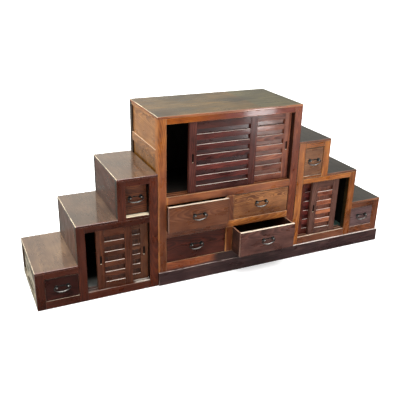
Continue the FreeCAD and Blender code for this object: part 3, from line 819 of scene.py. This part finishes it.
def keep_flat(piece):
    """Shades the flat faces of a piece flat between their eased edges."""
    flat = piece.modifiers.new("flat_faces", "WEIGHTED_NORMAL")
    flat.weight = flat_weight


def reach(solid):
    """Returns the lowest and highest corner of a solid."""
    low = Vector(min(vertex.co[axis] for vertex in solid.verts) for axis in range(3))
    high = Vector(max(vertex.co[axis] for vertex in solid.verts) for axis in range(3))
    return low, high


def placed(name, data):
    """Returns a new object in the scene."""
    thing = bpy.data.objects.new(name, data)
    bpy.context.scene.collection.objects.link(thing)
    return thing


class Carried:
    """Gathers the solids of one node, with the coordinates that their finishes read."""

    def __init__(self):
        self.whole = bmesh.new()
        vectors = self.whole.verts.layers.float_vector
        self.at = vectors.new("at")
        self.half = vectors.new("half")
        self.corner = vectors.new("corner")
        self.seed = self.whole.verts.layers.float.new("seed")
        self.finishes = []

    def add(self, solid, seed, finish, grain=None, reveal=None):
        """Adds a solid whose grain runs along its longest side, or along a chosen axis."""
        low, high = reach(solid)
        size = high - low
        middle = (low + high) / 2
        order = sorted(range(3), key=lambda axis: -size[axis])
        if grain is not None:
            order.remove(grain)
            order.insert(0, grain)
        half = Vector(size[axis] / 2 for axis in order)
        copies = {}
        for vertex in solid.verts:
            copy = self.whole.verts.new(vertex.co)
            copy[self.at] = Vector((vertex.co - middle)[axis] for axis in order)
            copy[self.half] = half
            copy[self.corner] = vertex.co - low
            copy[self.seed] = seed
            copies[vertex] = copy
        for face in solid.faces:
            made = self.whole.faces.new([copies[vertex] for vertex in face.verts])
            made.smooth = True
            made.material_index = self.number_of(reveal[0] if reveal and reveal[1](face) else finish)
        solid.free()

    def number_of(self, finish):
        """Returns the number of a finish on this piece."""
        if finish not in self.finishes:
            self.finishes.append(finish)
        return self.finishes.index(finish)

    def piece(self, name):
        """Returns the gathered solids as one object."""
        mesh = bpy.data.meshes.new(name)
        self.whole.to_mesh(mesh)
        self.whole.free()
        for finish in self.finishes:
            mesh.materials.append(finish)
        return placed(name, mesh)


body_of_node = {node: body for body, nodes in frame["record"]["behaviour"]["bodies"].items()
                for node in nodes}
centre_low, centre_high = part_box("centre_frame")
left_low, left_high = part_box("left_frame")
right_low, right_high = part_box("right_frame")
step_going = (left_high.x - left_low.x) / 3
half_step = step_going / 2
second_step = left_high.z * 2 / 3
long_board = step_going * 1.5
centre_rail = step_going * 2
middle_height = (centre_low.z + centre_high.z) / 2
head_height = middle_height * 1.5
outside_gap = 0.004
thin_board = 0.02
square_on = 0.9
seed_of_node = 0.6180339
seed_of_number = 0.754877


def looks_inward(face):
    """Tells whether a face of a frame looks into an opening from its side or from above."""
    place = face.calc_center_median()
    if abs(face.normal.x) > square_on:
        outer = (left_low.x, left_high.x, centre_low.x, centre_high.x, right_low.x, right_high.x)
        return all(abs(place.x - side) > outside_gap for side in outer)
    return face.normal.z < -square_on and place.z > right_low.z + outside_gap


def looks_at_middle(face):
    """Tells whether a face of a side board looks into its case, towards the middle of the chest."""
    return abs(face.normal.x) > square_on and face.normal.x * face.calc_center_median().x < 0


def looks_back(face):
    """Tells whether a face looks out of the back of the chest."""
    return face.normal.y > square_on


def board_seed(node, number):
    """Returns a number from 0 to 1 that differs from board to board."""
    total = sum((place + 1) * ord(letter) for place, letter in enumerate(node))
    return math.modf(total * seed_of_node + number * seed_of_number)[0]


def centre_frame_finish(low, high):
    """Tells the centre frame's boards apart by their place."""
    if low.y > 0:
        return dark_back
    if high.x - low.x > centre_rail:
        if low.z > head_height:
            return amber_rail
        if low.z < centre_low.z + outside_gap:
            return amber_base
        if high.z < middle_height:
            return drawer_rail
    if high.z - low.z > middle_height and low.x > 0:
        return amber_post
    return amber_case


def left_frame_finish(low, high):
    """Tells the left frame's boards apart by their place, with a rail under the high drawer whose top is
    cream: bare wood and a painted highlight.
    """
    if low.y > 0:
        return dark_back
    middle = (low + high) / 2
    if middle.x > left_high.x - step_going and abs(middle.z - second_step) < half_step / 2:
        return dark_bare_lit
    if low.z < left_low.z + outside_gap and high.x - low.x > long_board:
        return dark_sill
    return dark_case


def right_frame_finish(low, high):
    """Tells the right frame's boards apart by their place."""
    if low.y > 0:
        return dark_back
    if low.z < right_low.z + outside_gap and high.x - low.x > long_board:
        return honey_base
    if high.x < right_low.x + half_step:
        return honey_post
    return honey_low if (low.x + high.x) / 2 > right_high.x - step_going else honey_case


def left_sides_finish(low, high):
    """Gives the low end its bare worn finish, and the board beside the centre case the inner one, painted
    near-black as shade.
    """
    if high.x < left_low.x + half_step:
        return dark_end
    return inner_shade_wood if low.x > left_high.x - half_step else dark_sides


def right_sides_finish(low, high):
    """Gives the board beside the centre case the inner finish, painted dark olive as shade."""
    return olive_shade_wood if high.x < right_low.x + half_step else honey_case


def shelves_finish(low, high):
    """Gives a low cupboard's floor painted light near the opening and painted shade deeper in, and other
    shelves painted shade.
    """
    if high.x - low.x > long_board and high.z - low.z < thin_board:
        return grey_floor if low.x < 0 else green_floor
    return inner_shade_wood


node_finishes = {
    "plinth": plinth_wood,
    "centre_top": amber_top,
    "centre_sides": amber_sides,
    "left_step_tops": dark_tops,
    "right_step_tops": honey_tops,
}
board_finishes = {
    "centre_frame": centre_frame_finish,
    "left_frame": left_frame_finish,
    "left_side_boards": left_sides_finish,
    "left_shelves": shelves_finish,
    "right_frame": right_frame_finish,
    "right_side_boards": right_sides_finish,
    "right_shelves": shelves_finish,
}
# Faces that take another finish: the reveals of the openings and the inner faces of the side boards, painted
# dark as shade, and the bare backs
reveals = {
    "left_frame": (dark_reveal_shade, looks_inward),
    "centre_frame": (amber_reveal_shade, looks_inward),
    "right_frame": (honey_reveal_shade, looks_inward),
    "left_side_boards": (inner_shade_wood, looks_at_middle),
    "centre_sides": (inner_shade_wood, looks_at_middle),
    "right_side_boards": (olive_shade_wood, looks_at_middle),
    "left_back_boards": (bare_back, looks_back),
    "centre_back_boards": (bare_back, looks_back),
    "right_back_boards": (bare_back, looks_back),
}


def finish_of(node, number, low, high):
    """Returns the finish of one board by its node, its number there and its place."""
    if node in node_finishes:
        return node_finishes[node]
    if node in board_finishes:
        return board_finishes[node](low, high)
    if node.endswith("_drawer_front"):
        return drawer_finishes[node.removesuffix("_drawer_front")]
    if node.endswith("_drawer_box"):
        return box_wood
    if node.startswith("door_"):
        door = node.removeprefix("door_").rsplit("_", 1)[0]
        if node.endswith("_slats"):
            return (slat_finishes if number else panel_finishes)[door]
        return door_finishes[door]
    return inner_shade_wood


def carry(piece, node):
    """Puts a piece in its node's place, on its body."""
    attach(piece, body_of_node[node])
    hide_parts(node)


def dress_boards(node):
    """Replaces a wooden node by its boards with eased edges and grain along each."""
    carried = Carried()
    grain = 0 if node.endswith("_drawer_front") else None
    for number, triangles in enumerate(closed_solids(frame["nodes"][node].data)):
        solid = solid_mesh(triangles)
        ease(solid, sharp_angle, board_ease)
        finish = finish_of(node, number, *reach(solid))
        carried.add(solid, board_seed(node, number), finish, grain, reveals.get(node))
    piece = carried.piece(node + "_boards")
    keep_flat(piece)
    carry(piece, node)


# Forged handles

def outward(turn):
    """Returns the direction at a turn, from straight out to the side to straight down."""
    return Vector((math.sin(turn), 0, math.cos(turn)))


def bail_stations():
    """Returns place, direction and bar radius along the right half of the bail, from its pin."""
    shoulder = Vector((boss_spacing / 2 + bail_shoulder, 0, -bail_shoulder_radius))
    corner = shoulder + Vector((bail_shoulder_radius - bail_corner_radius, 0, 0))
    knee = corner + outward(bail_corner_turn) * bail_corner_radius
    bow_radius = knee.x / outward(bail_corner_turn).x
    bow = knee - outward(bail_corner_turn) * bow_radius
    stations = [(Vector((boss_spacing / 2 - bail_pin, 0, 0)), outward(0), bail_radius),
                (Vector((shoulder.x, 0, 0)), outward(0), bail_radius)]
    bends = [
        (shoulder, bail_shoulder_radius, 0, math.pi / 2),
        (corner, bail_corner_radius, math.pi / 2, bail_corner_turn),
        (bow, bow_radius, bail_corner_turn, math.pi),
    ]
    for centre, radius, start, end in bends:
        for number in range(1, bail_steps + 1):
            turn = start + (end - start) * number / bail_steps
            swell = math.sin(math.pi / 2 * max(0, turn - bail_corner_turn) / (math.pi - bail_corner_turn))
            bar = bail_radius + (bail_middle_radius - bail_radius) * swell
            stations.append((centre + outward(turn) * radius, outward(turn), bar))
    return stations


def bail_mesh(pivot):
    """Returns a smooth round bail that hangs from its pivot."""
    right = bail_stations()
    mirror = Vector((-1, 1, 1))
    left = [(place * mirror, direction * mirror, bar) for place, direction, bar in right[:-1]]
    solid = bmesh.new()
    rings = []
    for place, direction, bar in right + left[::-1]:
        ring = []
        for number in range(bail_sides):
            turn = math.tau * number / bail_sides
            offset = direction * (bar * math.cos(turn)) + Vector((0, -1, 0)) * (bar * math.sin(turn))
            ring.append(solid.verts.new(pivot + place + offset))
        rings.append(ring)
    for near, far in zip(rings, rings[1:]):
        for number in range(bail_sides):
            beside = (number + 1) % bail_sides
            solid.faces.new((near[number], far[number], far[beside], near[beside]))
    solid.faces.new(rings[0])
    solid.faces.new(rings[-1][::-1])
    bmesh.ops.recalc_face_normals(solid, faces=solid.faces[:])
    return solid


def dress_bail(node):
    """Replaces a bail by a smooth one."""
    low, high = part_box(node)
    pivot = Vector(((low.x + high.x) / 2, (low.y + high.y) / 2, high.z - bail_radius))
    carried = Carried()
    carried.add(bail_mesh(pivot), board_seed(node, 0), bail_iron)
    carry(carried.piece(node + "_forged"), node)


def dress_plate(node):
    """Replaces a back plate and its bosses by smooth ones."""
    carried = Carried()
    for number, triangles in enumerate(closed_solids(frame["nodes"][node].data)):
        solid = solid_mesh(triangles)
        ease(solid, plate_sharp_angle, plate_ease)
        low, high = reach(solid)
        finish = plate_iron if high.x - low.x > boss_spacing else boss_iron
        carried.add(solid, board_seed(node, number), finish)
    piece = carried.piece(node + "_forged")
    keep_flat(piece)
    carry(piece, node)


for node in sorted(frame["nodes"]):
    if node.endswith("_bail"):
        dress_bail(node)
    elif node.endswith("_handle_plate"):
        dress_plate(node)
    else:
        dress_boards(node)


# Floor, light and camera

def pale_floor():
    """Lays the floor under the chest."""
    mesh = bpy.data.meshes.new("floor")
    corners = [(-floor_half, -floor_half, 0), (floor_half, -floor_half, 0), (floor_half, floor_half, 0),
               (-floor_half, floor_half, 0)]
    mesh.from_pydata(corners, [], [(0, 1, 2, 3)])
    mesh.materials.append(floor_finish())
    floor = placed("floor", mesh)
    floor.visible_glossy = False


def low_window():
    """Hangs the low window, which only glances off the fronts."""
    data = bpy.data.lights.new("low_window", "AREA")
    data.shape = "RECTANGLE"
    data.size, data.size_y = window_size
    data.energy = window_watts
    light = placed("low_window", data)
    light.location = window_place
    light.rotation_euler = (Vector(window_target) - Vector(window_place)).to_track_quat("-Z", "Y").to_euler()
    light.visible_camera = False
    light.visible_diffuse = False


def surround():
    """Sets a soft surround: bright overhead and behind the chest, dim before it."""
    world = bpy.data.worlds.new("studio")
    world.use_nodes = True
    sky = Nodes(world.node_tree)
    background = sky.tree.nodes["Background"]
    x, y, z = sky.parts(sky.tree.nodes.new("ShaderNodeTexCoord").outputs["Generated"])
    behind = sky.span(y, *turn_to_back)
    ground = sky.span(behind, 0.0, 1.0, ground_before, ground_behind)
    side = sky.span(x, *turn_to_right, sky_behind_left, sky_behind_right)
    high = sky.calc("MULTIPLY_ADD", behind, sky.calc("SUBTRACT", side, sky_before), sky_before)
    above = sky.span(z, *horizon)
    level = sky.calc("MULTIPLY_ADD", above, sky.calc("SUBTRACT", high, ground), ground)
    tint = sky.blend(behind, (1, 1, 1), sky_warmth)
    colour = sky.vector("MULTIPLY", tint, level)
    colour = sky.vector("ADD", colour, sky.span(z, *zenith, 0.0, overhead))
    sky.tree.links.new(colour, background.inputs["Color"])
    bpy.context.scene.world = world


def photograph_camera():
    """Sets the camera where the photograph was taken from."""
    back = Vector((
        math.sin(camera_azimuth) * math.cos(camera_elevation),
        -math.cos(camera_azimuth) * math.cos(camera_elevation),
        math.sin(camera_elevation),
    ))
    level = (-back).cross(Vector((0, 0, 1))).normalized()
    upright = level.cross(-back)
    right = level * math.cos(camera_roll) + upright * math.sin(camera_roll)
    up = upright * math.cos(camera_roll) - level * math.sin(camera_roll)
    data = bpy.data.cameras.new("camera")
    data.sensor_width = sensor_width
    data.lens = focal_pixels / image_pixels * sensor_width
    camera = placed("camera", data)
    turn = Matrix((right, up, back)).transposed().to_4x4()
    camera.matrix_world = Matrix.Translation(camera_place) @ turn
    bpy.context.scene.camera = camera


pale_floor()
low_window()
surround()
bpy.context.scene.view_settings.view_transform = "Standard"
photograph_camera()
